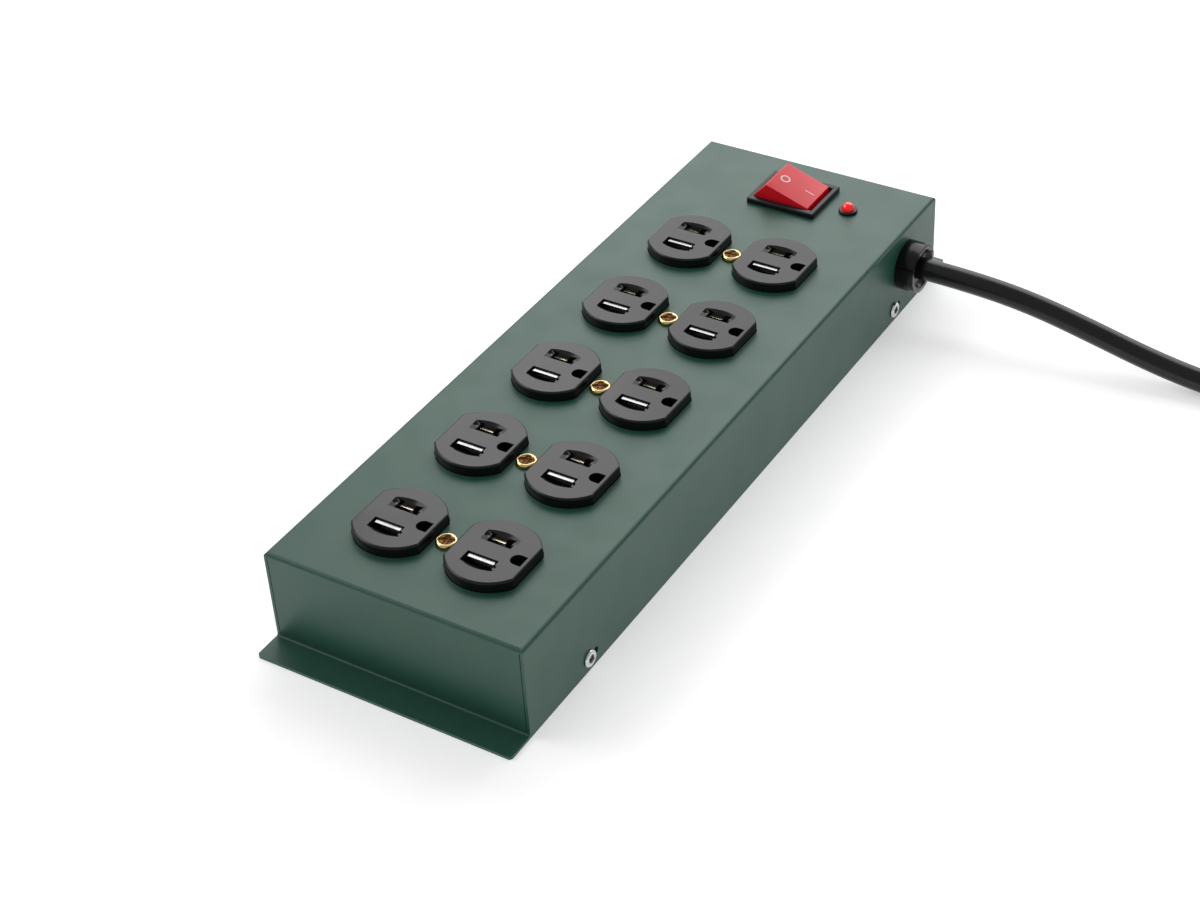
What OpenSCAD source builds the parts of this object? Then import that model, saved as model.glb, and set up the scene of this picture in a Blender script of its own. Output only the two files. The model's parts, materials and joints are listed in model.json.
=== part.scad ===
// Metal-cased power strip: five duplex outlets across a folded sheet-steel case,
// a lit rocker switch, an indicator lamp and a captive mains cord with its plug.
// Origin: middle of the underside. +Y runs along the case, away from the first
// outlet row; +X points to the side that the cord leaves; +Z is up.

/* [Case] */
// Width of the case across the outlets
body_w = 106.8; // [100:0.2:116]
// Length of the case without its end flanges
body_l = 316; // [312:1:330]
// Height of the case
body_h = 39; // [39:0.5:44]
// Depth of each end flange
flange_d = 12; // [8:1:20]
// Thickness of the sheet steel
sheet_t = 1.2; // [1:0.1:1.5]

/* [Outlets] */
// Distance between duplex rows
row_pitch = 50.8; // [50:0.1:52]
// Distance between the two faces of a duplex
face_pitch = 38.9; // [38.5:0.1:39.5]
// Diameter of a face across its round sides
face_d = 34.1; // [33.6:0.1:34.4]
// Width of a face across its flats
face_flat = 28.6; // [28.2:0.1:29]
// How far a face stands above the case
face_rise = 4; // [3:0.1:5]

/* [Switch] */
// Middle of the switch along the case
switch_y = 132; // [131:0.5:134]
// Angle of the rocker from level at each end of its travel
rocker_tilt = 18.35; // [14:0.05:18.5]

/* [Cord] */
// Diameter of the cord
cord_d = 9.2; // [8:0.1:9.4]
// Middle of the cord's exit along the case
gland_y = 129.6; // [128:0.2:131]
// Height of the cord's exit
gland_z = 22.5; // [21:0.5:23]

/* [Hidden] */
$fn = 48;
eps = 0.01;

// Outlet rows
row_count = 5;
first_row_y = -123.6;
row_y = [for (i = [0:row_count - 1]) first_row_y + i * row_pitch];
face_x = [-face_pitch / 2, face_pitch / 2];

// Levels, from the case inwards
top_z = body_h;
roof_z = body_h - sheet_t;
face_top_z = top_z + face_rise;
shoulder_t = 3.4;
shoulder_z = roof_z - shoulder_t;
back_z = 13;
strap_t = 1.2;
strap_z = shoulder_z - strap_t;

// Case sheet
bend_r = 1.5;
flange_bend_r = 0.8;
seam_w = 0.3;
side_x = body_w / 2;
end_y = body_l / 2;

// Base plate and its side screws
base_t = 1.2;
lip_h = 11;
lip_gap = 0.1;
screw_y = 120;
screw_z = 5.6;
side_slot_l = 9.4;
side_slot_h = 3.2;
side_slot_shift = 1.2;

// Blade and pin layout of a 15 A grounded outlet
blade_gap = 12.7;
blade_y = blade_gap / 2;
pin_x = 10.1;
pin_hole_r = 2.65;
slot_l = 12.6;
slot_w = 5.2;
slot_x = -1.4;
slot_y = 6.2;
slot_depth = 1;
line_slot_x = -1.2;
line_slot_l = 9.2;
neutral_slot_x = -1.5;
neutral_slot_l = 11.4;
contact_t = 0.8;
leaf_gap = 0.85;
contact_foot_z = 18;
bar_start_x = -28;

// Outlet body
body_x = 36;
body_y = 16.4;
face_edge_r = 0.8;

// Wiring
wire_r = 1.5;
core_r = 1.3;
bus_x = 42;
bus_z = 21;
cord_in_x = 46;
feed_y = 104;
line_feed_y = 137;
switch_wire_z = 12;
board_in_x = -20.5;
ground_bus_x = 46.5;
ground_bus_z = 8;
ground_feed_x = 32.5;
ground_screw_y = 112;

// Switch
switch_x = 0.5;
bezel_l = 31;
bezel_w = 25.5;
bezel_t = 2.2;
pivot_z = 38.7;
rocker_half_l = 10.1;
rocker_top = 6.3;
rocker_r = 13.4;
rocker_w = 19.7;
well_l = 27.2;
well_w = 20.1;
well_wall = 1.1;
switch_floor_z = 17;
pivot_r = 1.2;
pivot_clearance = 0.05;
plunger_l = 11.8;
seesaw_z = 24.5;
seesaw_tilt = 8;
seesaw_boss_r = 0.8;

// Indicator lamp
lamp_x = 26.1;
lamp_y = 131.6;
lamp_r = 2.6;

// Strain relief
gland_r = 10.4;
gland_flat = 10.2;
gland_len = 8.2;
gland_hole_r = 8.7;
gland_tail = 13;
gland_tail_r = 6.6;
split_z = gland_z + 4;
dish_r = 8.4;
dish_depth = 2;
cord_r = cord_d / 2;
cord_gap = 0.05;

// Surge board
board_x = -34;
board_y = 125;
board_w = 30;
board_l = 50;
board_z = 8;
board_t = 1.6;

// Cord route, from inside the strain relief to the coil, then from the coil to the plug
cord_sides = 12;
coil_mid_r = 53.8;
coil_x = 276;
coil_y = gland_y - coil_mid_r - cord_r;
layer_z = [cord_r, cord_r + cord_d, cord_r + cord_d * (1 + sin(60))];
lead_route = [
    [cord_in_x, 0, 22.5], [58, 0, 22.5], [70, 0, 22.5], [82, 0, 22.2], [94, 0, 21.5],
    [106, 0, 20.2], [118, 0, 18.2], [130, 0, 15.6], [142, 0, 12.8], [154, 0, 10],
    [166, 0, 7.6], [178, 0, 5.8], [190, 0, 4.9], [204, 0, 4.6], [222, 0, 4.6],
    [240, 0, 4.6], [258, 0, 4.6], [276, 0, 4.6]
];
tail_route = [
    [0, 0, 21.8], [0, -10, 22.5], [0, -20, 23.2], [-0.3, -30, 23.1], [-1, -40, 21.4],
    [-2, -50, 18.2], [-3.2, -60, 14.4], [-4.6, -70, 10.8], [-6, -80, 7.8], [-7.4, -90, 5.7],
    [-8.7, -100, 4.8], [-9.8, -110, 5], [-10.7, -120, 6.5], [-11.4, -130, 9],
    [-11.8, -140, 11.6], [-12, -150, 12.9], [-12, -156, 13]
];
tail_start = [coil_x + coil_mid_r, coil_y, 0];

// Plug, 15 A grounded
plug_end = tail_start + tail_route[len(tail_route) - 1];
plug_w = 27;
plug_h = 26;
boot_l = 26;
boot_end_r = 8;
plug_l = 36;
blade_l = 17.5;
blade_w = 6.35;
blade_t = 1.5;
pin_r = 2.38;
pin_l = 20.6;
plug_blade_z = -3.9;
plug_pin_z = 8;

function row_names(name) = [for (i = [1:row_count]) str(name, "_", i)];

// ---------------------------------------------------------------- shared shapes

// Rectangle with round corners, middle at the origin
module round_rect(w, h, r) {
    square([w - 2 * r, h], center = true);
    square([w, h - 2 * r], center = true);
    for (sx = [-1, 1], sy = [-1, 1])
        translate([sx * (w / 2 - r), sy * (h / 2 - r)]) circle(r);
}

// Rectangle standing on the x axis with only its upper corners round
module arch_rect(w, h, r) {
    translate([-w / 2, 0]) square([w, h - r]);
    translate([-w / 2 + r, 0]) square([w - 2 * r, h]);
    for (s = [-1, 1])
        translate([s * (w / 2 - r), h - r]) circle(r);
}

module slot_2d(length, width) {
    square([length - width, width], center = true);
    for (s = [-1, 1])
        translate([s * (length - width) / 2, 0]) circle(width / 2);
}

// Extrusions whose length runs along X or along Y, centred on it
module along_x(length) {
    rotate([90, 0, 90]) translate([0, 0, -length / 2]) linear_extrude(length) children();
}

module along_y(length) {
    rotate([90, 0, 0]) translate([0, 0, -length / 2]) linear_extrude(length) children();
}

// Cylinder between two points that differ along one axis
module rod_x(x0, x1, y, z, r) {
    translate([x0, y, z]) rotate([0, 90, 0]) cylinder(h = x1 - x0, r = r);
}

module rod_y(y0, y1, x, z, r) {
    translate([x, y1, z]) rotate([90, 0, 0]) cylinder(h = y1 - y0, r = r);
}

module rod_z(z0, z1, x, y, r) {
    translate([x, y, z0]) cylinder(h = z1 - z0, r = r);
}

// Outline of an outlet face: a disc with two flats
module face_outline(grow = 0) {
    intersection() {
        circle(face_d / 2 + grow, $fn = 96);
        square([face_flat + 2 * grow, face_d + 4], center = true);
    }
}

module at_faces() {
    for (x = face_x)
        translate([x, 0, 0]) children();
}

// Cross recess of a screw head, cut down from z = 0
module cross_recess(length, width, depth) {
    for (a = [0, 90])
        rotate([0, 0, a]) translate([-length / 2, -width / 2, -depth]) cube([length, width, depth + 1]);
}

// ---------------------------------------------------------------- case

// Folded box: roof, two side walls and two end walls, with round top bends
module case_shell(inset, r) {
    intersection() {
        along_y(body_l - 2 * inset) arch_rect(body_w - 2 * inset, body_h - inset, r);
        along_x(body_w - 2 * inset) arch_rect(body_l - 2 * inset, body_h - inset, r);
    }
}

// Foot of an end wall, bent outwards into the flange; profile in the Y-Z plane
module flange_profile() {
    outer_r = flange_bend_r + sheet_t;
    difference() {
        union() {
            translate([end_y - sheet_t + outer_r, 0]) square([flange_d + sheet_t - outer_r, sheet_t]);
            translate([end_y - sheet_t, 0]) square([outer_r, outer_r]);
        }
        difference() {
            translate([end_y - sheet_t - eps, -eps]) square([outer_r + eps, outer_r + eps]);
            translate([end_y - sheet_t + outer_r, outer_r]) circle(outer_r);
        }
        translate([end_y + flange_bend_r, sheet_t + flange_bend_r]) circle(flange_bend_r);
        translate([end_y, sheet_t + flange_bend_r]) square([outer_r, outer_r]);
        translate([end_y + flange_bend_r, sheet_t]) square([outer_r, outer_r]);
    }
}

module flanges() {
    corner_r = 1.5;
    inner_l = 10;
    for (s = [0, 1])
        mirror([0, s, 0]) intersection() {
            along_x(body_w) flange_profile();
            linear_extrude(10) translate([0, end_y - inner_l]) {
                translate([0, (flange_d + inner_l) / 2])
                    round_rect(body_w, flange_d + inner_l, corner_r);
                translate([-body_w / 2, 0]) square([body_w, inner_l]);
            }
        }
}

module housing_cover() {
    outer_r = flange_bend_r + sheet_t;
    color("#6b8277") difference() {
        union() {
            difference() {
                case_shell(0, bend_r);
                translate([0, 0, -eps]) case_shell(sheet_t, bend_r - sheet_t);
                // the end walls stop above the flange bends
                for (s = [-1, 1])
                    translate([-body_w, s * (end_y - sheet_t / 2) - sheet_t, -1])
                        cube([2 * body_w, 2 * sheet_t, outer_r + 1]);
            }
            // lower ends of the side walls at the case's corners
            for (sx = [-1, 1], sy = [-1, 1])
                translate([sx * (side_x - sheet_t / 2), sy * (end_y - 2 * sheet_t), outer_r / 2])
                    cube([sheet_t, 4 * sheet_t, outer_r], center = true);
            flanges();
        }
        // open seams where the end walls meet the side walls
        for (sx = [-1, 1], sy = [-1, 1])
            translate([sx * (side_x - sheet_t - seam_w / 2), sy * end_y, (top_z - bend_r) / 2 + 1])
                cube([seam_w, 4 * sheet_t, top_z - bend_r - 2], center = true);
        for (y = row_y)
            translate([0, y, roof_z - 1]) {
                at_faces() linear_extrude(sheet_t + 2) face_outline(0.25);
                cylinder(h = sheet_t + 2, r = 1.9);
            }
        translate([switch_x, switch_y, roof_z - 1])
            linear_extrude(sheet_t + 2) square([well_l + 2 * well_wall + 0.2, well_w + 2 * well_wall + 0.2],
                                               center = true);
        rod_z(roof_z - 1, top_z + 1, lamp_x, lamp_y, 3.5);
        rod_x(side_x - 2 * sheet_t, side_x + 1, gland_y, gland_z, gland_hole_r + 0.1);
        for (sx = [-1, 1], sy = [-1, 1])
            translate([sx * side_x, sy * screw_y + side_slot_shift, screw_z])
                along_x(4 * sheet_t) slot_2d(side_slot_l, side_slot_h);
    }
}

module base_plate() {
    plate_w = body_w - 2 * sheet_t - 2 * lip_gap;
    plate_l = body_l - 2 * sheet_t - 0.6;
    lip_l = body_l - 12;
    color("#3c4a44") difference() {
        union() {
            translate([-plate_w / 2, -plate_l / 2, 0]) cube([plate_w, plate_l, base_t]);
            for (s = [-1, 1])
                translate([s * (plate_w / 2 - base_t / 2), 0, lip_h / 2])
                    cube([base_t, lip_l, lip_h], center = true);
        }
        for (s = [-1, 1])
            rod_x(-plate_w, plate_w, s * screw_y, screw_z, 1.55);
    }
}

module side_screws() {
    head_r = 3.3;
    head_t = 1.3;
    color("silver") for (sx = [0, 1], sy = [-1, 1])
        mirror([sx, 0, 0]) translate([side_x, sy * screw_y, screw_z]) rotate([0, 90, 0])
            difference() {
                union() {
                    intersection() {
                        cylinder(h = head_t, r = head_r);
                        translate([0, 0, head_t - 5.2]) sphere(5.2, $fn = 64);
                    }
                    cylinder(h = head_t * 0.3, r = head_r);
                    translate([0, 0, -5]) cylinder(h = 5 + eps, r = 1.5);
                }
                translate([0, 0, head_t]) cross_recess(3.6, 0.8, 0.9);
            }
}

// ---------------------------------------------------------------- duplex outlets

// Outlet face with its round top edge, one of a pair
module face_boss() {
    r = face_edge_r;
    intersection() {
        rotate_extrude($fn = 96) {
            square([face_d / 2, face_top_z - r - roof_z]);
            square([face_d / 2 - r, face_top_z - roof_z]);
            translate([face_d / 2 - r, face_top_z - roof_z - r]) circle(r);
        }
        along_y(face_d + 2) arch_rect(face_flat, face_top_z - roof_z, r);
    }
}

// Lead-in beside a blade slot: a slice of a cone, sloping down from its curved rim to the slot
module slot_lead_in() {
    rim_y = 10.4;
    rim_r = 16.5;
    run = 2;
    intersection() {
        translate([slot_x + 0.6, rim_y - rim_r, -slot_depth])
            cylinder(h = slot_depth + eps, r1 = rim_r - run, r2 = rim_r, $fn = 96);
        translate([slot_x - slot_l / 2, slot_y, -2 * slot_depth]) cube([slot_l + 0.8, 8, 3 * slot_depth]);
    }
}

// Mouth of a blade slot: its ends slope from the full length to that of the opening
module slot_mouth(x, length) {
    along_y(slot_w) polygon([
        [slot_x - slot_l / 2, eps], [x - length / 2, -slot_depth],
        [x + length / 2, -slot_depth], [slot_x + slot_l / 2, eps]
    ]);
}

module blade_slot(x, length, depth) {
    translate([x - length / 2, -slot_w / 2, -depth]) cube([length, slot_w, depth]);
    slot_mouth(x, length);
}

module face_openings() {
    depth = face_top_z - shoulder_z + 1;
    translate([0, slot_y, face_top_z]) blade_slot(line_slot_x, line_slot_l, depth);
    translate([0, -slot_y, face_top_z]) blade_slot(neutral_slot_x, neutral_slot_l, depth);
    for (s = [0, 1])
        translate([0, 0, face_top_z]) mirror([0, s, 0]) slot_lead_in();
    translate([pin_x, 0, face_top_z - depth]) linear_extrude(depth + 1) {
        circle(pin_hole_r);
        translate([0, -pin_hole_r]) square([pin_hole_r, 2 * pin_hole_r]);
    }
}

module outlet_face(i) {
    color("#2b2a2c") translate([0, row_y[i], 0]) difference() {
        union() {
            translate([-body_x, -body_y, shoulder_z]) cube([2 * body_x, 2 * body_y, shoulder_t]);
            translate([0, 0, roof_z]) at_faces() face_boss();
        }
        at_faces() face_openings();
        rod_z(shoulder_z - 1, roof_z + 1, 0, 0, 2);
    }
}

// Clearance that a strip of contacts needs inside the outlet body
module contact_pocket() {
    translate([-28.6, blade_y - slot_w / 2, back_z + 3])
        cube([54.4, slot_w, shoulder_z - back_z]);
}

module outlet_back(i) {
    color("#202022") translate([0, row_y[i], 0]) difference() {
        translate([-body_x, -body_y, back_z]) cube([2 * body_x, 2 * body_y, shoulder_z - back_z]);
        contact_pocket();
        mirror([0, 1, 0]) contact_pocket();
        // ways out for the terminal tabs
        translate([-body_x - 1, blade_y - 2, 17.9]) cube([body_x - 27, 4, 6.2]);
        translate([25, -blade_y - 2, 17.9]) cube([body_x - 24, 4, 6.2]);
        translate([face_x[0] + pin_x - 4.4, -3.45, strap_z]) cube([face_pitch + 8.9, 6.9, strap_t + 1]);
        for (x = face_x)
            rod_z(back_z + 3, shoulder_z + 1, x + pin_x, 0, 3.4);
        rod_z(back_z + 6, shoulder_z + 1, 0, 0, 2.2);
    }
}

// Two contact leaves on a foot, profile in the Y-Z plane; the taller leaf ends in a lip
module contact_profile(top, lip) {
    outer = leaf_gap + contact_t;
    short_leaf = top - 3 - contact_foot_z;
    translate([-outer, contact_foot_z]) square([2 * outer, contact_t]);
    translate([-outer, contact_foot_z]) square([contact_t, short_leaf]);
    translate([leaf_gap, contact_foot_z]) square([contact_t, top - contact_foot_z]);
    translate([leaf_gap, top - contact_t]) square([lip, contact_t]);
}

// Contacts of one blade line for both faces, on the bar that joins them
module contact_set(x, length, top, lip) {
    bar_h = 6;
    bar_l = 53;
    outer = leaf_gap + contact_t;
    for (face = face_x)
        translate([face + x, 0, 0]) along_x(length) contact_profile(top, lip);
    translate([bar_start_x, -outer, contact_foot_z]) cube([bar_l, 2 * outer, contact_t]);
    for (y = [-outer, leaf_gap])
        translate([bar_start_x, y, contact_foot_z]) cube([bar_l, contact_t, bar_h]);
}

module terminal_tab(x, y, length) {
    translate([x, y, contact_foot_z]) cube([length, contact_t, 6]);
}

module line_contacts(i) {
    color("#c9b37a") translate([0, row_y[i] + blade_y, 0]) {
        contact_set(-2.7, 5.8, face_top_z - 2.1, 1.4);
        terminal_tab(-38.5, leaf_gap, 11);
    }
}

module neutral_contacts(i) {
    color("#c9c9c6") translate([0, row_y[i] - blade_y, 0]) {
        contact_set(neutral_slot_x, 10.6, face_top_z - 0.7, 1.85);
        terminal_tab(24.5, -leaf_gap - contact_t, 14);
    }
}

// Yoke strip with a threaded middle and a split sleeve under each ground hole
module ground_strap(i) {
    sleeve_r = 3.2;
    sleeve_h = 11;
    bore_r = 2.5;
    color("#b8b8b4") translate([0, row_y[i], 0]) difference() {
        union() {
            translate([face_x[0] + pin_x - 4.3, -3.4, strap_z]) cube([face_pitch + 8.7, 6.8, strap_t]);
            for (x = face_x)
                rod_z(strap_z - sleeve_h, strap_z + eps, x + pin_x, 0, sleeve_r);
        }
        for (x = face_x) {
            rod_z(strap_z - sleeve_h - 1, shoulder_z + 1, x + pin_x, 0, bore_r);
            translate([x + pin_x, -0.5, strap_z - sleeve_h - 1]) cube([sleeve_r + 1, 1, sleeve_h + 1]);
        }
        rod_z(strap_z - 1, shoulder_z + 1, 0, 0, 1.55);
    }
}

module centre_screws() {
    head_r = 4;
    head_t = 1.7;
    edge_r = 0.85;
    color("#d8b75c") for (y = row_y)
        translate([0, y, top_z]) difference() {
            union() {
                rotate_extrude() {
                    square([head_r, head_t - edge_r]);
                    square([head_r - edge_r, head_t]);
                    translate([head_r - edge_r, head_t - edge_r]) circle(edge_r);
                }
                translate([0, 0, -13]) cylinder(h = 13 + eps, r = 1.5);
            }
            rotate([0, 0, 20]) translate([0, 0, head_t]) cross_recess(4.8, 1.2, 1.1);
            rotate([0, 0, 65]) translate([-2.4, -0.4, head_t - 0.6]) cube([4.8, 0.8, 1]);
        }
}

// ---------------------------------------------------------------- wiring

// Round conductor along straight stretches between points
module wire(points, r) {
    for (i = [0:len(points) - 2]) {
        run = points[i + 1] - points[i];
        translate(points[i]) rotate([0, acos(run[2] / norm(run)), atan2(run[1], run[0])])
            cylinder(h = norm(run), r = r);
    }
    for (i = [1:1:len(points) - 2])
        translate(points[i]) sphere(r);
}

// A bus along Y with one tap to each outlet row
module bus(side, tap_y, feed) {
    wire(concat([[side * bus_x, row_y[0] + tap_y, bus_z]], feed), wire_r);
    for (y = row_y) {
        wire([[side * bus_x, y + tap_y, bus_z], [side * 38.5, y + tap_y, bus_z]], wire_r);
        translate([side * bus_x, y + tap_y, bus_z]) sphere(wire_r);
    }
}

module line_wiring() {
    tap_y = blade_y + leaf_gap + contact_t / 2;
    board_top = board_z + board_t;
    drop_x = 37;
    color("#1d1d1d") {
        bus(-1, tap_y, [[-bus_x, feed_y, bus_z], [-bus_x, feed_y, board_top]]);
        wire([[cord_in_x, gland_y + 2, bus_z], [drop_x, gland_y + 2, bus_z],
              [drop_x, gland_y + 2, switch_wire_z], [drop_x, line_feed_y, switch_wire_z],
              [switch_x, line_feed_y, switch_wire_z], [switch_x, switch_y + 0.4, switch_wire_z]], core_r);
        wire([[switch_x - 12.2, switch_y, switch_wire_z], [board_in_x, switch_y, switch_wire_z],
              [board_in_x, switch_y, board_top]], core_r);
    }
}

module neutral_wiring() {
    tap_y = -blade_y - leaf_gap - contact_t / 2;
    board_in = -28;
    drop_x = 36;
    color("#e6e4dc") {
        bus(1, tap_y, [[bus_x, feed_y, bus_z], [board_in, feed_y, bus_z],
                       [board_in, feed_y, board_z + board_t]]);
        wire([[cord_in_x, gland_y - 2, bus_z], [drop_x, gland_y - 2, bus_z],
              [drop_x, feed_y, bus_z]], core_r);
    }
}

module ground_wiring() {
    strap_x = 8;
    core_z = 25;
    color("#3f7d3a") {
        wire([[ground_bus_x, row_y[0], ground_bus_z], [ground_bus_x, ground_screw_y, ground_bus_z],
              [ground_bus_x, ground_screw_y, base_t + 2.2]], wire_r);
        for (y = row_y) {
            wire([[ground_bus_x, y, ground_bus_z], [strap_x, y, ground_bus_z],
                  [strap_x, y, back_z]], wire_r);
            translate([ground_bus_x, y, ground_bus_z]) sphere(wire_r);
        }
        wire([[cord_in_x, gland_y, core_z], [ground_feed_x, gland_y, core_z],
              [ground_feed_x, gland_y, ground_bus_z], [ground_feed_x, ground_screw_y, ground_bus_z],
              [ground_bus_x, ground_screw_y, ground_bus_z]], core_r);
    }
}

// Bonding screw on the base plate with its ring tag
module ground_terminal() {
    color("#7fae6b") translate([ground_bus_x, ground_screw_y, base_t]) {
        cylinder(h = 1, r = 3.6);
        cylinder(h = 2.2, r = 2.6, $fn = 6);
    }
}

// ---------------------------------------------------------------- switch and lamp

module switch_housing() {
    outer_l = well_l + 2 * well_wall;
    outer_w = well_w + 2 * well_wall;
    edge_r = 0.7;
    color("#2c2d31") translate([switch_x, switch_y, 0]) difference() {
        union() {
            translate([0, 0, top_z]) intersection() {
                linear_extrude(bezel_t) round_rect(bezel_l, bezel_w, 1);
                along_y(bezel_w + 2) arch_rect(bezel_l, bezel_t, edge_r);
                along_x(bezel_l + 2) arch_rect(bezel_w, bezel_t, edge_r);
            }
            translate([-outer_l / 2, -outer_w / 2, switch_floor_z])
                cube([outer_l, outer_w, top_z - switch_floor_z + eps]);
        }
        translate([-well_l / 2, -well_w / 2, switch_floor_z + 1.5])
            cube([well_l, well_w, top_z]);
        rod_y(-outer_w / 2 + 0.05, outer_w / 2 - 0.05, 0, pivot_z, pivot_r + pivot_clearance);
        for (x = [-9, 0, 9])
            translate([x - 3.3, -0.5, switch_floor_z - 1]) cube([6.6, 1, 4]);
    }
}

// Side view of the rocker in its level position, pivot at the origin
module rocker_profile() {
    skirt_z = -1.3;
    intersection() {
        polygon([[-rocker_half_l, rocker_top], [rocker_half_l, rocker_top],
                 [rocker_r, skirt_z], [rocker_r, -4], [-rocker_r, -4], [-rocker_r, skirt_z]]);
        circle(rocker_r, $fn = 96);
    }
}

module switch_rocker() {
    color("#c8323c") translate([switch_x, switch_y, pivot_z]) rotate([0, rocker_tilt, 0])
        difference() {
            union() {
                along_y(rocker_w) rocker_profile();
                rod_y(-rocker_w / 2 - 0.95, rocker_w / 2 + 0.95, 0, 0, pivot_r);
            }
            // hollow for the plunger and its spring
            rod_z(-5, 2, 0, 0, 2.3);
        }
}

// Sprung plunger under the rocker that tips the seesaw
module rocker_plunger() {
    color("#d9d4c4") translate([switch_x, switch_y, pivot_z]) rotate([0, rocker_tilt, 0]) {
        rod_z(-plunger_l, 1.9, 0, 0, 1.2);
        translate([0, 0, -plunger_l]) sphere(1.2);
        rod_z(-3.2, -2.2, 0, 0, 2.2);
    }
}

module seesaw_contact() {
    color("#c98a4b") translate([switch_x, switch_y, seesaw_z]) rotate([0, -seesaw_tilt, 0]) {
        translate([-10.5, -2.5, -0.5]) cube([21, 5, 1]);
        along_y(5) circle(seesaw_boss_r);
        translate([-9, 0, -1]) cylinder(h = 0.6, r = 1.4);
    }
}

module switch_terminals() {
    contact_x = 9;
    contact_top_z = seesaw_z - 2.5;
    pivot_top_z = seesaw_z - seesaw_boss_r - 0.05;
    blade_top_z = switch_floor_z + 2;
    color("#d3cbb0") translate([switch_x, switch_y, 0]) {
        for (x = [-contact_x, 0, contact_x])
            translate([x - 3.2, -0.4, blade_top_z - 10]) cube([6.4, 0.8, 10]);
        translate([-1, -0.4, blade_top_z - 1]) cube([2, 0.8, pivot_top_z - blade_top_z + 1]);
        rod_z(blade_top_z - 0.1, contact_top_z, -contact_x, 0, 1.4);
    }
}

// Neon lamp that lights the rocker, with its bulb below the lens
module switch_lamp() {
    color("#f0b090") translate([switch_x + 8.5, switch_y + 6.4, switch_floor_z + 1.5]) {
        cylinder(h = 6, r = 1.9);
        translate([0, 0, 6]) sphere(1.9);
    }
}

module indicator_bezel() {
    color("#1c1c1e") translate([lamp_x, lamp_y, 0]) rotate_extrude()
        difference() {
            union() {
                translate([0, top_z]) square([3.9, 0.7]);
                translate([0, top_z]) square([3.4, 1.2]);
                translate([3.4, top_z + 0.7]) circle(0.5);
                translate([0, 34]) square([3.4, top_z - 34 + eps]);
            }
            translate([-1, 30]) square([lamp_r + 1.05, 20]);
        }
}

module indicator_led() {
    dome_z = top_z + 1.4;
    color("#e8282c") translate([lamp_x, lamp_y, 0]) {
        rod_z(33, dome_z, 0, 0, lamp_r);
        translate([0, 0, dome_z]) sphere(lamp_r, $fn = 64);
        rod_z(32, 33, 0, 0, 3.2);
    }
}

module led_leads() {
    color("silver") for (s = [-1, 1])
        rod_z(14, 32, lamp_x + s * 1.27, lamp_y, 0.35);
}

// ---------------------------------------------------------------- surge board

module surge_board() {
    color("#2e6b3f") translate([board_x, board_y, board_z]) difference() {
        translate([-board_w / 2, -board_l / 2, 0]) cube([board_w, board_l, board_t]);
        for (sx = [-1, 1], sy = [-1, 1])
            rod_z(-1, board_t + 1, sx * (board_w / 2 - 3), sy * (board_l / 2 - 3), 1.6);
    }
}

module board_standoffs() {
    color("#d8d8d0") for (sx = [-1, 1], sy = [-1, 1])
        translate([board_x + sx * (board_w / 2 - 3), board_y + sy * (board_l / 2 - 3), 0]) {
            rod_z(base_t, board_z, 0, 0, 2.8);
            rod_z(board_z - eps, board_z + board_t + 1, 0, 0, 1.5);
            rod_z(board_z + board_t, board_z + board_t + 1, 0, 0, 2.2);
        }
}

module varistors() {
    disc_r = 8.5;
    color("#2a4fa0") for (i = [0:2])
        translate([board_x + 3, board_y - 12 + 7 * i, board_z + board_t + 2 + disc_r]) {
            along_y(4.4) circle(disc_r);
            for (s = [-1, 1])
                rod_z(-disc_r - 2, -disc_r + 2, s * 3.75, 0, 0.4);
        }
}

module thermal_fuse() {
    color("#c8a878") translate([board_x - 9.5, board_y - 2, board_z + board_t + 2.2]) {
        rod_y(-6, 6, 0, 0, 2.2);
        rod_y(-9, 9, 0, 0, 0.5);
    }
}

module filter_capacitor() {
    color("#d8b02a") translate([board_x + 4.5, board_y + 12.5, board_z + board_t])
        along_x(17) arch_rect(7, 13, 1);
}

module filter_choke() {
    color("#a8622e") translate([board_x - 9.5, board_y + 13, board_z + board_t]) difference() {
        cylinder(h = 7, r = 5.2);
        translate([0, 0, -1]) cylinder(h = 9, r = 2.2);
    }
}

// ---------------------------------------------------------------- strain relief

// Outline of the bushing's head, in the Y-Z plane, middle at the origin
module gland_outline() {
    intersection() {
        circle(gland_r, $fn = 96);
        square([2 * gland_flat, 2 * gland_r], center = true);
    }
}

// The whole bushing: head, neck through the case wall and grooved tail inside
module bushing() {
    latch_r = gland_hole_r + 0.5;
    translate([0, gland_y, gland_z]) difference() {
        union() {
            translate([side_x + gland_len / 2, 0, 0]) along_x(gland_len) gland_outline();
            translate([side_x - sheet_t - gland_tail, 0, 0]) rotate([0, 90, 0])
                cylinder(h = gland_tail + sheet_t, r1 = gland_tail_r, r2 = gland_hole_r - 0.5);
            rod_x(side_x - sheet_t - 0.1, side_x + eps, 0, 0, gland_hole_r);
            rod_x(side_x - sheet_t - 2.4, side_x - sheet_t - 0.1, 0, 0, latch_r);
        }
        rod_x(0, side_x + gland_len + 1, 0, 0, cord_r + cord_gap);
        // dished mouth around the cord
        translate([side_x + gland_len + eps, 0, 0]) rotate([0, -90, 0]) rotate_extrude()
            polygon([[0, 0], [dish_r, 0], [dish_r - 1.2, dish_depth], [0, dish_depth]]);
    }
}

module strain_relief_body() {
    color("#161616") intersection() {
        bushing();
        translate([0, gland_y - 20, gland_z - 20]) cube([100, 40, 20 + split_z - gland_z - 0.15]);
    }
}

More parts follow.
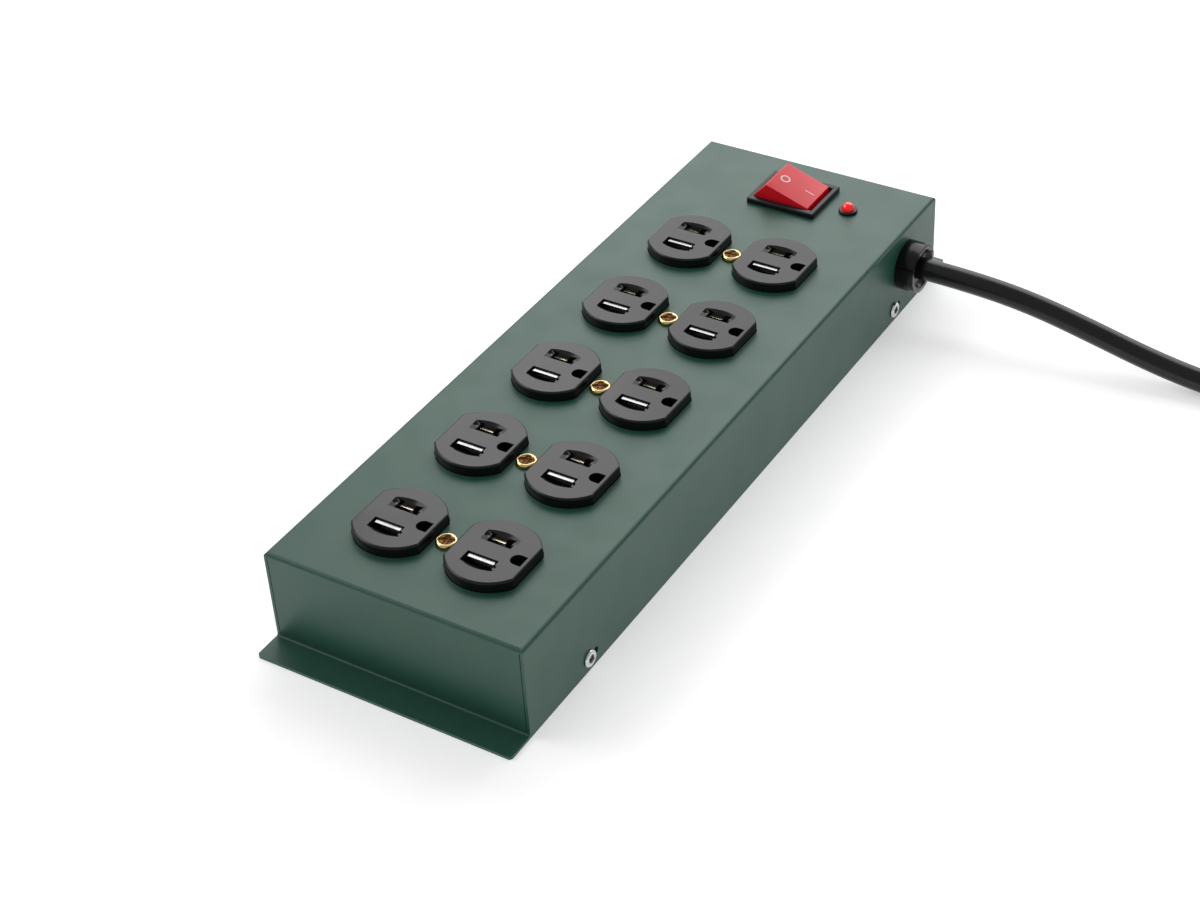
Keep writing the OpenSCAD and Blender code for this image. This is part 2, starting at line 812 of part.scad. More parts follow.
module strain_relief_clamp() {
    // the clamp half has flat facets over its round back
    color("#1d1d1d") intersection() {
        bushing();
        translate([0, gland_y - 20, split_z + 0.15]) cube([100, 40, 20]);
        translate([0, gland_y, gland_z]) along_x(200) polygon([
            [0.5 - gland_flat, 0], [0.5 - gland_flat, 5], [-6.4, 8.6], [1, 10.3], [8, 8.2],
            [gland_flat - 0.5, 4], [gland_flat - 0.5, 0]
        ]);
    }
}

// ---------------------------------------------------------------- cord and plug

function unit(v) = v / norm(v);

// Direction of a route at point i
function heading(route, i) =
    unit(route[min(i + 1, len(route) - 1)] - route[max(i - 1, 0)]);

// Tube swept along a route, its rings square to the route
module tube(route, r, sides) {
    rings = len(route);
    points = [
        for (i = [0:rings - 1])
            let (
                ahead = heading(route, i),
                across = unit(cross(ahead, [0, 0, 1])),
                up = cross(across, ahead)
            )
            for (k = [0:sides - 1])
                route[i] + r * (cos(360 * k / sides) * across + sin(360 * k / sides) * up)
    ];
    walls = [
        for (i = [0:rings - 2], k = [0:sides - 1])
            [i * sides + k, i * sides + (k + 1) % sides,
             (i + 1) * sides + (k + 1) % sides, (i + 1) * sides + k]
    ];
    caps = [[for (k = [sides - 1:-1:0]) k], [for (k = [0:sides - 1]) (rings - 1) * sides + k]];
    polyhedron(points = points, faces = concat(walls, caps), convexity = 6);
}

module cord_lead() {
    color("#181818") tube([for (p = lead_route) p + [0, gland_y, 0]], cord_r, cord_sides);
}

module cord_tail() {
    color("#181818") tube([for (p = tail_route) p + tail_start], cord_r, cord_sides);
}

// Outer shape of the coil: two turns wide and two high, with one turn on top
module cord_coil() {
    color("#141414") translate([coil_x, coil_y, 0]) rotate_extrude($fn = 96) {
        translate([coil_mid_r - cord_d, 0]) square([2 * cord_d, 2 * cord_d]);
        translate([coil_mid_r - cord_r, 0]) square([cord_d, layer_z[2] + cord_r]);
    }
}

// Hook-and-loop strap round the coil's turns
module coil_tie() {
    strap_w = 14;
    strap_t = 1;
    low_w = 2 * cord_d + 2 * strap_t;
    color("#303030") translate([coil_x, coil_y, 0]) rotate([0, 0, -125])
        translate([coil_mid_r, 0, 0]) along_y(strap_w) difference() {
            union() {
                translate([-low_w / 2, 0]) square([low_w, 2 * cord_d + strap_t]);
                translate([-cord_r - strap_t, 0])
                    square([cord_d + 2 * strap_t, layer_z[2] + cord_r + strap_t]);
            }
            translate([-cord_d, strap_t]) square([2 * cord_d, 2 * cord_d - strap_t]);
            translate([-cord_r, strap_t]) square([cord_d, layer_z[2] + cord_r - strap_t]);
        }
}

// Places a shape modelled along +Y at the end of the cord, pointing away from it
module at_plug() {
    translate(plug_end) rotate([0, 0, 180]) children();
}

// Plan of the plug: it widens from the boot to its full width
module plug_outline(width) {
    shoulder_l = 12;
    polygon([
        [-boot_end_r, boot_l - eps], [boot_end_r, boot_l - eps], [width / 2, boot_l + shoulder_l],
        [width / 2, boot_l + plug_l], [-width / 2, boot_l + plug_l], [-width / 2, boot_l + shoulder_l]
    ]);
}

module plug_body() {
    color("#1a1a1a") at_plug() {
        rotate([-90, 0, 0]) cylinder(h = boot_l, r1 = cord_r + 0.8, r2 = boot_end_r);
        intersection() {
            translate([0, boot_l + plug_l / 2, 0]) along_y(plug_l + 1) round_rect(plug_w, plug_h, 5);
            linear_extrude(plug_h + 2, center = true) plug_outline(plug_w);
            rotate([0, 90, 0]) linear_extrude(plug_w + 2, center = true) plug_outline(plug_h);
        }
    }
}

module plug_blades() {
    color("#c8c4b4") at_plug() for (s = [-1, 1])
        translate([s * blade_y, boot_l + plug_l + blade_l / 2, plug_blade_z])
            cube([blade_t, blade_l, blade_w], center = true);
}

module plug_ground_pin() {
    shaft_l = pin_l - pin_r;
    color("#c8c4b4") at_plug() translate([0, boot_l + plug_l, plug_pin_z]) {
        rotate([-90, 0, 0]) cylinder(h = shaft_l, r = pin_r);
        translate([0, shaft_l, 0]) sphere(pin_r);
    }
}

// ---------------------------------------------------------------- drawing

housing_cover();
base_plate();
side_screws();
for (i = [0:row_count - 1]) {
    outlet_face(i);
    outlet_back(i);
    line_contacts(i);
    neutral_contacts(i);
    ground_strap(i);
}
centre_screws();
line_wiring();
neutral_wiring();
ground_wiring();
ground_terminal();
switch_housing();
switch_rocker();
rocker_plunger();
seesaw_contact();
switch_terminals();
switch_lamp();
indicator_bezel();
indicator_led();
led_leads();
surge_board();
board_standoffs();
varistors();
thermal_fuse();
filter_capacitor();
filter_choke();
strain_relief_body();
strain_relief_clamp();
cord_lead();
cord_coil();
cord_tail();
coil_tie();
plug_body();
plug_blades();
plug_ground_pin();
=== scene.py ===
"""Looks of a metal-cased power strip: camera, light, materials and detailed pieces
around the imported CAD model. The object's lengths are written in millimetres and scaled
by MM; the light panels, the floor and the camera's clipping are in metres."""

import json
import math

import bmesh
import bpy
from mathutils import Matrix, Vector


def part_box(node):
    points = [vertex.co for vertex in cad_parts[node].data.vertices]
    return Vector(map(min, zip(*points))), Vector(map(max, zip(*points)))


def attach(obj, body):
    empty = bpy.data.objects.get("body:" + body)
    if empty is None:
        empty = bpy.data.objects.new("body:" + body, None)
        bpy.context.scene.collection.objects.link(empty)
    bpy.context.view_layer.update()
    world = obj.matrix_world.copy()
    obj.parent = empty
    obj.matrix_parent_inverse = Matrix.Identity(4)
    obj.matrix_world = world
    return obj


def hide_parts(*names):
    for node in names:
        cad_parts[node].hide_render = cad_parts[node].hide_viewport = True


MM = 0.001
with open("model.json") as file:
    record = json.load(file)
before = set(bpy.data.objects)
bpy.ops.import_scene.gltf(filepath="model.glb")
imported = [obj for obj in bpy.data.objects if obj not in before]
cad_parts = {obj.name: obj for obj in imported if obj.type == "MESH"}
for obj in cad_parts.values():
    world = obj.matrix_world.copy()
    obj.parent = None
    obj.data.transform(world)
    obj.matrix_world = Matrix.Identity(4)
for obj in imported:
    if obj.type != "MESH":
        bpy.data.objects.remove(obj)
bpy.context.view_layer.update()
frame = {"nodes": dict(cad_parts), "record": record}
SCENE = bpy.context.scene
ROWS = 5


# ---------------------------------------------------------------- camera

LENS_MM = 69.14
SENSOR_MM = 36.0
CAMERA_AT = Vector((385.8, -603.8, 543.4)) * MM
CAMERA_AZIMUTH = math.radians(33.68)
CAMERA_ELEVATION = math.radians(37.37)
CAMERA_ROLL = math.radians(-3.71)


def add_camera():
    level = math.cos(CAMERA_ELEVATION)
    forward = Vector((-math.sin(CAMERA_AZIMUTH) * level, math.cos(CAMERA_AZIMUTH) * level,
                      -math.sin(CAMERA_ELEVATION)))
    level_right = forward.cross(Vector((0, 0, 1))).normalized()
    level_up = level_right.cross(forward)
    right = math.cos(CAMERA_ROLL) * level_right + math.sin(CAMERA_ROLL) * level_up
    up = math.cos(CAMERA_ROLL) * level_up - math.sin(CAMERA_ROLL) * level_right
    data = bpy.data.cameras.new("camera")
    data.lens = LENS_MM
    data.sensor_width = SENSOR_MM
    data.clip_start = 0.02
    camera = bpy.data.objects.new("camera", data)
    SCENE.collection.objects.link(camera)
    turn = Matrix((right, up, -forward)).transposed()
    camera.matrix_world = Matrix.Translation(CAMERA_AT) @ turn.to_4x4()
    SCENE.camera = camera


# ---------------------------------------------------------------- mesh helpers

def link(mesh, name):
    piece = bpy.data.objects.new(name, mesh)
    SCENE.collection.objects.link(piece)
    return piece


def mesh_piece(name, bm, smooth=True):
    bmesh.ops.recalc_face_normals(bm, faces=bm.faces)
    mesh = bpy.data.meshes.new(name)
    bm.to_mesh(mesh)
    bm.free()
    for face in mesh.polygons:
        face.use_smooth = smooth
    return link(mesh, name)


def circle_outline(x, y, r, count=48):
    return [(x + r * math.cos(math.tau * k / count), y + r * math.sin(math.tau * k / count))
            for k in range(count)]


def unit_frame(points, i):
    """Direction of a path at point i, and two directions square to it."""
    ahead = (points[min(i + 1, len(points) - 1)] - points[max(i - 1, 0)]).normalized()
    across = ahead.cross(Vector((0, 0, 1))).normalized()
    return ahead, across, across.cross(ahead)


# ---------------------------------------------------------------- cord

CORD_R = 4.6
CORD_D = 2 * CORD_R
GLAND = Vector((61.6, 129.6, 22.5))
COIL_MID_R = 53.8
COIL_AT = Vector((276, GLAND.y - COIL_MID_R - CORD_R, 0))
LAYER_Z = [CORD_R, CORD_R + CORD_D, CORD_R + CORD_D * (1 + math.sin(math.radians(60)))]

# Given routes, the same as in the CAD source: out of the strain relief to the coil
# (across from its axis, so y is 0), and from the coil to the plug (from the coil's exit)
LEAD_ROUTE = [
    (46, 0, 22.5), (58, 0, 22.5), (70, 0, 22.5), (82, 0, 22.2), (94, 0, 21.5),
    (106, 0, 20.2), (118, 0, 18.2), (130, 0, 15.6), (142, 0, 12.8), (154, 0, 10),
    (166, 0, 7.6), (178, 0, 5.8), (190, 0, 4.9), (204, 0, 4.6), (222, 0, 4.6),
    (240, 0, 4.6), (258, 0, 4.6), (276, 0, 4.6),
]
TAIL_ROUTE = [
    (0, 0, 21.8), (0, -10, 22.5), (0, -20, 23.2), (-0.3, -30, 23.1), (-1, -40, 21.4),
    (-2, -50, 18.2), (-3.2, -60, 14.4), (-4.6, -70, 10.8), (-6, -80, 7.8), (-7.4, -90, 5.7),
    (-8.7, -100, 4.8), (-9.8, -110, 5), (-10.7, -120, 6.5), (-11.4, -130, 9),
    (-11.8, -140, 11.6), (-12, -150, 12.9), (-12, -156, 13),
]
TAIL_START = COIL_AT + Vector((COIL_MID_R, 0, 0))

# Where the coil changes lane, as (from, to, radius after, height after); degrees wound
OUTER_R = COIL_MID_R + CORD_R
INNER_R = COIL_MID_R - CORD_R
COIL_END = 4.25 * 360
LANE_CHANGES = [
    (275, 335, INNER_R, LAYER_Z[0]),
    (585, 655, INNER_R, LAYER_Z[1]),
    (895, 960, OUTER_R, LAYER_Z[1]),
    (1195, 1265, COIL_MID_R, LAYER_Z[2]),
]


def ease(t):
    t = min(max(t, 0.0), 1.0)
    return t * t * (3 - 2 * t)


def coil_points(step=6):
    """The wound turns, clockwise from the side where the lead comes in."""
    points = []
    for k in range(1, int(COIL_END / step)):
        wound = k * step
        radius, height = OUTER_R, LAYER_Z[0]
        for start, stop, new_radius, new_height in LANE_CHANGES:
            share = ease((wound - start) / (stop - start))
            radius += (new_radius - radius) * share
            height += (new_height - height) * share
        angle = math.radians(90 - wound)
        points.append(COIL_AT + Vector((radius * math.cos(angle), radius * math.sin(angle), height)))
    return points


def smoothed(route, steps):
    """A cubic through the route's points, steps points to a stretch."""
    points = []
    for i in range(len(route) - 1):
        p0, p1, p2 = route[max(i - 1, 0)], route[i], route[i + 1]
        p3 = route[min(i + 2, len(route) - 1)]
        for k in range(steps):
            t = k / steps
            points.append(0.5 * (2 * p1 + (p2 - p0) * t + (2 * p0 - 5 * p1 + 4 * p2 - p3) * t ** 2
                                 + (3 * p1 - p0 - 3 * p2 + p3) * t ** 3))
    points.append(route[-1])
    return points


def cord_path():
    lead = [Vector((x, GLAND.y + y, z)) for x, y, z in LEAD_ROUTE]
    tail = [TAIL_START + Vector(p) for p in TAIL_ROUTE]
    return [p * MM for p in smoothed(lead, 3)[:-1] + [lead[-1]] + coil_points() + smoothed(tail, 3)]


def tube(name, points, radius, sides):
    """Closed tube of one radius along a path."""
    bm = bmesh.new()
    rings = []
    for i, point in enumerate(points):
        _, across, up = unit_frame(points, i)
        ring = []
        for k in range(sides):
            turn = math.tau * k / sides
            ring.append(bm.verts.new(point + radius * (math.cos(turn) * across + math.sin(turn) * up)))
        rings.append(ring)
    for a, b in zip(rings, rings[1:]):
        for k in range(sides):
            bm.faces.new((a[k], a[(k + 1) % sides], b[(k + 1) % sides], b[k]))
    bm.faces.new(rings[0])
    bm.faces.new(rings[-1])
    return mesh_piece(name, bm)


def add_cord():
    path = cord_path()
    piece = tube("power_cord", path, CORD_R * MM, 28)
    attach(piece, "housing")
    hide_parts("cord_lead", "cord_coil", "cord_tail")
    return piece


# ---------------------------------------------------------------- sizes shared by the pieces

# Screw turns are in degrees; lengths without MM are in mm
TOP_Z = 39 * MM
SCREW_TURNS = (18, 12, 25, 20, 8)
SIDE_HEAD_R = 3.3
SIDE_HEAD_RISE = 1.3
# Head radius, rise above the case, edge rounding and reach of the recess, in mm
CENTRE_HEAD = (4.0, 1.7, 0.85, 3.2)
SIDE_HEAD = (SIDE_HEAD_R, SIDE_HEAD_RISE, 0.7, 1.9)
SIDE_TURN = 60
ROCKER_TILT = math.radians(18.35)
ROCKER_PIVOT = Vector((0.5, 132, 38.7)) * MM
ROCKER_TOP = 6.3
MARK_RISE = 0.04
# Recess depth in mm past which a screw head takes its darker recess metal, which is painted shade
RECESS_SHADE_DEPTH = 0.3


# ---------------------------------------------------------------- softened edges

def soften(node, body, width):
    """Stand-in for a CAD node: the same shape with its sharp edges rounded by width mm."""
    bm = bmesh.new()
    bm.from_mesh(frame["nodes"][node].data)
    bmesh.ops.remove_doubles(bm, verts=bm.verts, dist=1e-6)
    bmesh.ops.dissolve_limit(bm, angle_limit=math.radians(0.5), verts=bm.verts, edges=bm.edges)
    piece = mesh_piece(f"{node}_soft", bm)
    rounding = piece.modifiers.new("rounding", "BEVEL")
    rounding.width = width * MM
    rounding.segments = 3
    rounding.limit_method = "ANGLE"
    rounding.angle_limit = math.radians(35)
    rounding.harden_normals = True
    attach(piece, body)
    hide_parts(node)
    return piece


# ---------------------------------------------------------------- screws

def step(x, edge, soft=0.12):
    """0 inside edge, 1 outside it, with a wall that is soft wide."""
    return ease((x - edge) / soft + 0.5)


def drive_depth(x, y, size):
    """Depth of a combined cross and slot recess, for a recess that reaches out to size."""
    bowl = 0.35 * (1 - step(math.hypot(x, y), 0.9 * size, 0.3))
    slot = 0.8 * (1 - step(abs(y), 0.22 * size)) * (1 - step(abs(x), size))
    cross = 0.0
    for along, across in ((abs(x), abs(y)), (abs(y), abs(x))):
        wing = (1 - step(across, 0.42 * size - 0.22 * along, 0.3)) * (1 - step(along, 0.86 * size, 0.3))
        cross = max(cross, wing * (1.35 - 0.75 * along / size))
    return max(bowl, slot, cross)


def add_screw_heads(name, node, head, places, finishes):
    """Screws with round-edged heads. places are matrices that put +Z out of the head;
    finishes are the metal and a darker metal in the recess, which is painted shade."""
    radius, rise, edge, recess = head
    rings = 30
    spokes = 96
    shaft_r = 1.5
    shaft_l = 5.0
    bm = bmesh.new()
    for place in places:
        loops = []
        for i in range(1, rings + 1):
            r = radius * math.sin(math.pi / 2 * i / rings)
            over_edge = max(r - (radius - edge), 0)
            dome = rise - 0.22 * (r / radius) ** 2 - edge + math.sqrt(edge ** 2 - min(over_edge, edge) ** 2)
            loops.append([(x, y, dome - drive_depth(x, y, recess))
                          for x, y in circle_outline(0, 0, r, spokes)])
        for r, z in ((radius, 0), (shaft_r, 0), (shaft_r, -shaft_l)):
            loops.append([(x, y, z) for x, y in circle_outline(0, 0, r, spokes)])
        verts = [[bm.verts.new(place @ (Vector(point) * MM)) for point in loop] for loop in loops]
        for a, b in zip(verts, verts[1:]):
            for k in range(spokes):
                bm.faces.new((a[k], a[(k + 1) % spokes], b[(k + 1) % spokes], b[k]))
        bm.faces.new(verts[0])
        bm.faces.new(verts[-1])
        for face in set(face for loop in verts[:rings] for vert in loop for face in vert.link_faces):
            local = place.inverted() @ face.calc_center_median() / MM
            # Faces deep in the recess take the darker metal: painted shade
            if drive_depth(local.x, local.y, recess) > RECESS_SHADE_DEPTH and local.z > 0:
                face.material_index = 1
    piece = mesh_piece(name, bm)
    for finish in finishes:
        piece.data.materials.append(finish)
    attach(piece, "housing")
    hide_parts(node)


def screw_places():
    """Where the centre screws and the side screws sit, from the CAD's boxes."""
    centre = []
    for i in range(1, ROWS + 1):
        low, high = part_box(f"outlet_face_{i}")
        middle = Vector(((low[0] + high[0]) / 2, (low[1] + high[1]) / 2, TOP_Z))
        centre.append(Matrix.Translation(middle) @ Matrix.Rotation(math.radians(SCREW_TURNS[i - 1]), 4, "Z"))
    low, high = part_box("side_screws")
    side = []
    for sx, face in ((-1, low[0]), (1, high[0])):
        for y in (low[1] + SIDE_HEAD_R * MM, high[1] - SIDE_HEAD_R * MM):
            foot = Vector((face - sx * SIDE_HEAD_RISE * MM, y, (low[2] + high[2]) / 2))
            side.append(Matrix.Translation(foot) @ Matrix.Rotation(sx * math.pi / 2, 4, "Y")
                        @ Matrix.Rotation(math.radians(SIDE_TURN), 4, "Z"))
    return centre, side


# ---------------------------------------------------------------- rocker marks

def on_rocker(points):
    """Points given on the rocker's top face, x to the pressed end, turned as it rests."""
    tilt = Matrix.Rotation(ROCKER_TILT, 3, "Y")
    return [ROCKER_PIVOT + tilt @ (Vector((x, y, z + ROCKER_TOP)) * MM) for x, y, z in points]


def add_mark(name, outer, inner):
    """Raised printed mark between two outlines that have the same number of points."""
    bm = bmesh.new()
    loops = [[(x, y, z) for x, y in outline] for outline, z in
             ((inner, 0), (inner, MARK_RISE), (outer, MARK_RISE), (outer, 0))]
    verts = [[bm.verts.new(p) for p in on_rocker(loop)] for loop in loops]
    count = len(outer)
    for a, b in zip(verts, verts[1:] + verts[:1]):
        for k in range(count):
            bm.faces.new((a[k], a[(k + 1) % count], b[(k + 1) % count], b[k]))
    piece = mesh_piece(name, bm, smooth=False)
    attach(piece, "rocker")
    return piece


def pill_outline(x0, x1, r, count=24):
    """Outline of a line with round ends."""
    points = []
    for k in range(count):
        turn = math.tau * (k + 0.5) / count
        end = x1 if math.cos(turn) > 0 else x0
        points.append((end + r * math.cos(turn), r * math.sin(turn)))
    return points


def add_marks():
    ring = add_mark("mark_off", circle_outline(-5.9, 0, 2.15), circle_outline(-5.9, 0, 1.5))
    line = add_mark("mark_on", pill_outline(4.1, 8.0, 0.24), pill_outline(4.1, 8.0, 0.01))
    return [ring, line]


# ---------------------------------------------------------------- light

# Power that makes an area light of one square metre look as bright as white paper
WATTS_FOR_WHITE = 4.0


def add_panel(name, at, size, radiance):
    """Soft light turned to the origin, its place and size in metres; radiance is how bright
    it looks, 1 being white."""
    data = bpy.data.lights.new(name, "AREA")
    data.shape = "RECTANGLE"
    data.size, data.size_y = size
    data.energy = radiance * WATTS_FOR_WHITE * size[0] * size[1]
    light = bpy.data.objects.new(name, data)
    light.location = at
    light.rotation_euler = (-Vector(at)).to_track_quat("-Z", "Y").to_euler()
    SCENE.collection.objects.link(light)


def add_light():
    add_panel("back_panel", (-0.27, 1.51, 1.12), (1.95, 1.6), 1.85)
    add_panel("back_left_panel", (-1.25, 0.88, 1.12), (1.2, 1.6), 0.5)
    add_panel("left_panel", (-1.7, -0.5, 1.5), (1.5, 1.2), 2.0)
    world = bpy.data.worlds.new("studio")
    world.use_nodes = True
    background = world.node_tree.nodes["Background"]
    background.inputs["Color"].default_value = (1, 1, 1, 1)
    background.inputs["Strength"].default_value = 0.4
    SCENE.world = world
    SCENE.view_settings.view_transform = "Standard"


def add_floor():
    bm = bmesh.new()
    bmesh.ops.create_grid(bm, x_segments=1, y_segments=1, size=6)
    floor = mesh_piece("studio_floor", bm)
    floor.data.materials.append(material("floor_paper", (0.9, 0.9, 0.9), 0.8, tint=0.01, glow=0.42))


# ---------------------------------------------------------------- materials

def add_node(tree, kind, **values):
    """New shader node; a value goes to the socket or setting with its name."""
    node = tree.nodes.new(kind)
    for name, value in values.items():
        socket = node.inputs.get(name.replace("_", " ").title())
        if socket is not None and not hasattr(node, name):
            socket.default_value = value
        else:
            setattr(node, name, value)
    return node


def noise(tree, size, detail=3.0):
    """Noise whose features are about size millimetres across."""
    coords = tree.nodes.get("coords") or add_node(tree, "ShaderNodeTexCoord", name="coords")
    texture = add_node(tree, "ShaderNodeTexNoise", scale=0.5 / (size * MM), detail=detail)
    tree.links.new(coords.outputs["Object"], texture.inputs["Vector"])
    return texture.outputs["Fac"]


def spread(tree, fac, low, high):
    """A noise value, mostly between 0.3 and 0.7, stretched to low and high."""
    node = add_node(tree, "ShaderNodeMapRange")
    node.inputs["From Min"].default_value = 0.3
    node.inputs["From Max"].default_value = 0.7
    node.inputs["To Min"].default_value = low
    node.inputs["To Max"].default_value = high
    tree.links.new(fac, node.inputs["Value"])
    return node.outputs["Result"]


def material(name, colour, roughness, metallic=0.0, rough_spread=0.0, rough_size=6.0, tint=0.0,
             tint_size=9.0, grain=0.0, grain_size=0.5, ior=1.5, coat=0.0, coat_roughness=0.1,
             transmission=0.0, glow=0.0, sheen=0.0):
    """Procedural material. Sizes are in mm; grain is the depth of its relief, in mm."""
    made = bpy.data.materials.new(name)
    made.use_nodes = True
    tree = made.node_tree
    shader = tree.nodes["Principled BSDF"]
    shader.inputs["Base Color"].default_value = (*colour, 1)
    shader.inputs["Roughness"].default_value = roughness
    shader.inputs["Metallic"].default_value = metallic
    shader.inputs["IOR"].default_value = ior
    shader.inputs["Coat Weight"].default_value = coat
    shader.inputs["Coat Roughness"].default_value = coat_roughness
    shader.inputs["Transmission Weight"].default_value = transmission
    shader.inputs["Sheen Weight"].default_value = sheen
    if glow:
        shader.inputs["Emission Color"].default_value = (*colour, 1)
        shader.inputs["Emission Strength"].default_value = glow
    if rough_spread:
        rough = spread(tree, noise(tree, rough_size), roughness - rough_spread, roughness + rough_spread)
        tree.links.new(rough, shader.inputs["Roughness"])
    if tint:
        ramp = add_node(tree, "ShaderNodeValToRGB")
        for stop, share in zip(ramp.color_ramp.elements, (1 - tint, 1 + tint)):
            stop.color = (*[min(c * share, 1.0) for c in colour], 1)
        ramp.color_ramp.elements[0].position = 0.3
        ramp.color_ramp.elements[1].position = 0.7
        tree.links.new(noise(tree, tint_size), ramp.inputs["Fac"])
        tree.links.new(ramp.outputs["Color"], shader.inputs["Base Color"])
    if grain:
        bump = add_node(tree, "ShaderNodeBump")
        bump.inputs["Distance"].default_value = grain * MM
        tree.links.new(noise(tree, grain_size, detail=4), bump.inputs["Height"])
        tree.links.new(bump.outputs["Normal"], shader.inputs["Normal"])
    return made


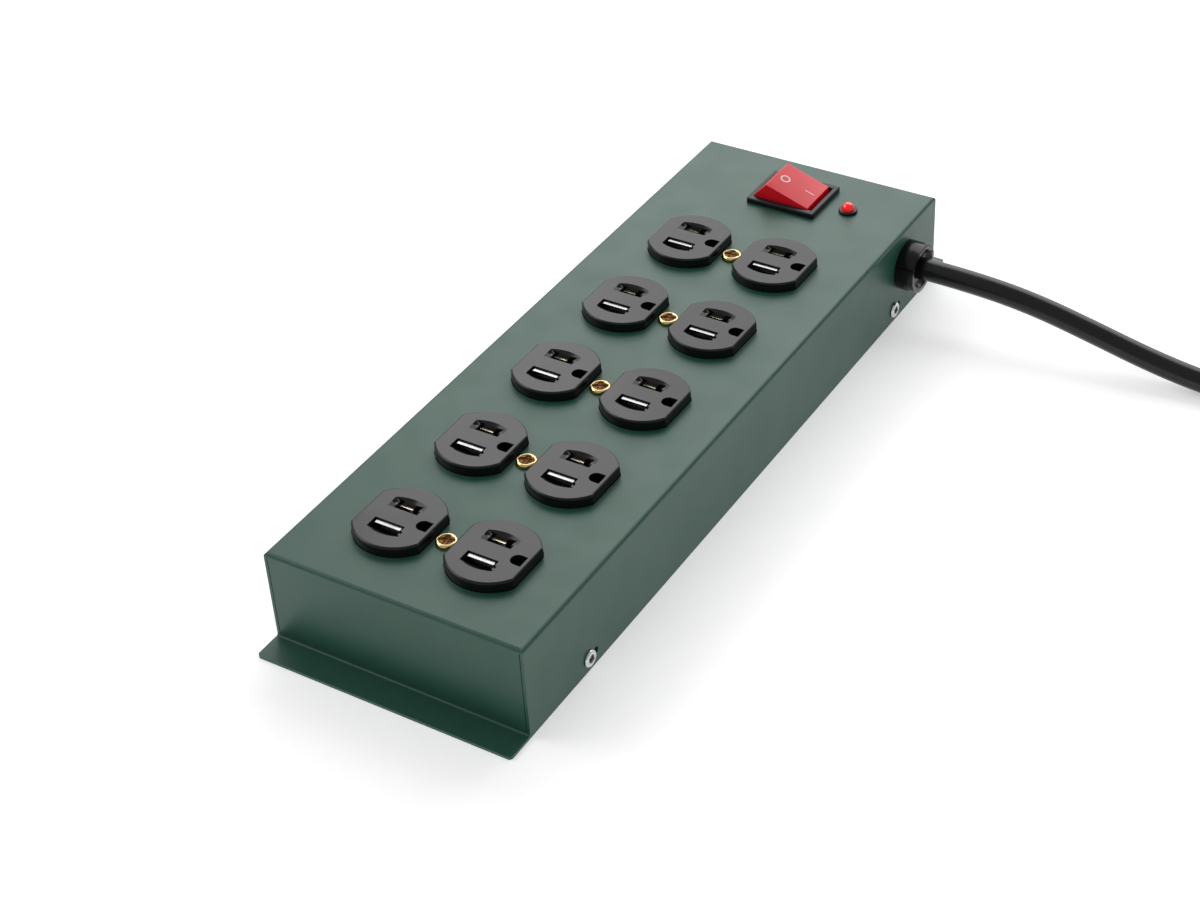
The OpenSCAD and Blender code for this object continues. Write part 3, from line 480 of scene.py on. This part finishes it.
# One entry a material slot of the record
SLOT_LOOKS = {
    "painted_steel": dict(colour=(0.014, 0.076, 0.050), roughness=0.42, rough_spread=0.03, tint=0.04,
                          tint_size=3, grain=0.006, grain_size=0.35, ior=1.53),
    "dark_steel": dict(colour=(0.012, 0.06, 0.04), roughness=0.4, rough_spread=0.05, tint=0.08,
                       grain=0.02, grain_size=0.9),
    "plated_screw": dict(colour=(0.72, 0.73, 0.74), roughness=0.2, metallic=1.0, rough_spread=0.06,
                         rough_size=0.8, grain=0.01, grain_size=0.3),
    "brass_screw": dict(colour=(0.88, 0.66, 0.30), roughness=0.12, metallic=1.0, rough_spread=0.04,
                        rough_size=0.8, tint=0.08, tint_size=1.5, grain=0.004, grain_size=0.3),
    "outlet_plastic": dict(colour=(0.006, 0.006, 0.007), roughness=0.14, rough_spread=0.03, tint=0.1,
                           grain=0.002, grain_size=0.6, ior=1.4),
    "outlet_base": dict(colour=(0.03, 0.03, 0.033), roughness=0.45, rough_spread=0.06, tint=0.1,
                        grain=0.01),
    "contact_brass": dict(colour=(0.72, 0.66, 0.52), roughness=0.22, metallic=1.0, rough_spread=0.06,
                          rough_size=1.5, tint=0.08),
    "contact_silver": dict(colour=(0.36, 0.36, 0.35), roughness=0.28, metallic=1.0, rough_spread=0.06,
                           rough_size=1.5, tint=0.05),
    "strap_steel": dict(colour=(0.6, 0.6, 0.58), roughness=0.35, metallic=1.0, rough_spread=0.08,
                        tint=0.06, grain=0.004),
    "wire_black": dict(colour=(0.02, 0.02, 0.02), roughness=0.5, rough_spread=0.06, tint=0.1),
    "wire_white": dict(colour=(0.8, 0.79, 0.75), roughness=0.5, rough_spread=0.06, tint=0.04),
    "wire_green": dict(colour=(0.05, 0.3, 0.08), roughness=0.5, rough_spread=0.06, tint=0.06),
    "bond_steel": dict(colour=(0.35, 0.5, 0.28), roughness=0.3, metallic=1.0, rough_spread=0.08,
                       tint=0.08),
    "switch_plastic": dict(colour=(0.012, 0.013, 0.016), roughness=0.35, rough_spread=0.05, tint=0.1,
                           grain=0.006, grain_size=0.5, ior=1.34),
    "rocker_plastic": dict(colour=(0.66, 0.003, 0.014), roughness=0.24, rough_spread=0.03, tint=0.05,
                           tint_size=5, grain=0.002, ior=1.42, glow=0.06),
    "plunger_plastic": dict(colour=(0.8, 0.78, 0.7), roughness=0.5, rough_spread=0.05, tint=0.04),
    "seesaw_copper": dict(colour=(0.75, 0.42, 0.24), roughness=0.3, metallic=1.0, rough_spread=0.08,
                          tint=0.08),
    "lamp_glass": dict(colour=(1.0, 0.7, 0.5), roughness=0.08, transmission=0.8, rough_spread=0.03),
    "lens_bezel": dict(colour=(0.010, 0.010, 0.012), roughness=0.3, rough_spread=0.05, tint=0.1,
                       ior=1.36),
    "led_epoxy": dict(colour=(0.9, 0.004, 0.006), roughness=0.05, rough_spread=0.01, tint=0.06,
                      tint_size=2, ior=1.6, coat=0.6, coat_roughness=0.02, glow=0.35),
    "board_laminate": dict(colour=(0.02, 0.16, 0.05), roughness=0.35, rough_spread=0.06, tint=0.15,
                           tint_size=2),
    "standoff_nylon": dict(colour=(0.8, 0.8, 0.74), roughness=0.5, rough_spread=0.05, tint=0.04),
    "varistor_coat": dict(colour=(0.03, 0.09, 0.35), roughness=0.3, rough_spread=0.05, tint=0.1,
                          grain=0.03, grain_size=1.2),
    "fuse_ceramic": dict(colour=(0.7, 0.58, 0.4), roughness=0.6, rough_spread=0.05, tint=0.08),
    "capacitor_film": dict(colour=(0.7, 0.5, 0.04), roughness=0.35, rough_spread=0.05, tint=0.05),
    "choke_copper": dict(colour=(0.62, 0.3, 0.13), roughness=0.3, metallic=1.0, rough_spread=0.08,
                         tint=0.1, grain=0.1, grain_size=0.8),
    "bushing_nylon": dict(colour=(0.005, 0.005, 0.006), roughness=0.2, rough_spread=0.05, tint=0.1,
                          grain=0.004, grain_size=0.5, ior=1.36),
    "cord_jacket": dict(colour=(0.006, 0.006, 0.007), roughness=0.24, rough_spread=0.04, tint=0.12,
                        grain=0.006, grain_size=0.7, ior=1.42),
    "tie_fabric": dict(colour=(0.02, 0.02, 0.022), roughness=0.85, rough_spread=0.08, tint=0.2,
                       tint_size=1, grain=0.15, grain_size=0.4, sheen=0.4),
    "plug_vinyl": dict(colour=(0.02, 0.02, 0.022), roughness=0.42, rough_spread=0.06, tint=0.1,
                       grain=0.02, grain_size=0.4),
    "blade_nickel": dict(colour=(0.8, 0.78, 0.7), roughness=0.2, metallic=1.0, rough_spread=0.07,
                         rough_size=2, tint=0.05),
}


# CAD nodes whose edges are rounded, with the body they ride on and the radius in mm
SOFT_NODES = [
    ("switch_rocker", "rocker", 0.5), ("switch_housing", "housing", 0.3),
    ("strain_relief_body", "housing", 0.5), ("strain_relief_clamp", "housing", 0.5),
    ("plug_body", "housing", 0.8), ("plug_blades", "housing", 0.3), ("coil_tie", "housing", 0.3),
]


def dress(slot_materials, slot_of):
    """Give every CAD node the material of its slot."""
    for node, piece in frame["nodes"].items():
        piece.data.materials.clear()
        piece.data.materials.append(slot_materials[slot_of[node]])


# ---------------------------------------------------------------- the scene

add_camera()
looks = {slot: material(slot, **look) for slot, look in SLOT_LOOKS.items()}
slot_of = {part["node"]: part["material_slot"] for part in frame["record"]["subparts"]}
dress(looks, slot_of)

soft = {node: soften(node, body, width) for node, body, width in SOFT_NODES}
for node, piece in soft.items():
    piece.data.materials.clear()
    piece.data.materials.append(looks[slot_of[node]])

centre_places, side_places = screw_places()
# Darker metals painted into the screw recesses as shade
brass_recess_shade = material("brass_recess_shade", (0.10, 0.045, 0.016), 0.22, metallic=1.0, tint=0.3, tint_size=0.8)
zinc_recess_shade = material("zinc_recess_shade", (0.10, 0.10, 0.10), 0.3, metallic=1.0, tint=0.3, tint_size=0.8)
add_screw_heads("brass_heads", "centre_screws", CENTRE_HEAD, centre_places,
                [looks["brass_screw"], brass_recess_shade])
add_screw_heads("zinc_heads", "side_screws", SIDE_HEAD, side_places,
                [looks["plated_screw"], zinc_recess_shade])

print_white = material("print_white", (0.8, 0.62, 0.62), 0.4)
for mark in add_marks():
    mark.data.materials.append(print_white)

cord = add_cord()
cord.data.materials.append(looks["cord_jacket"])
add_floor()
add_light()
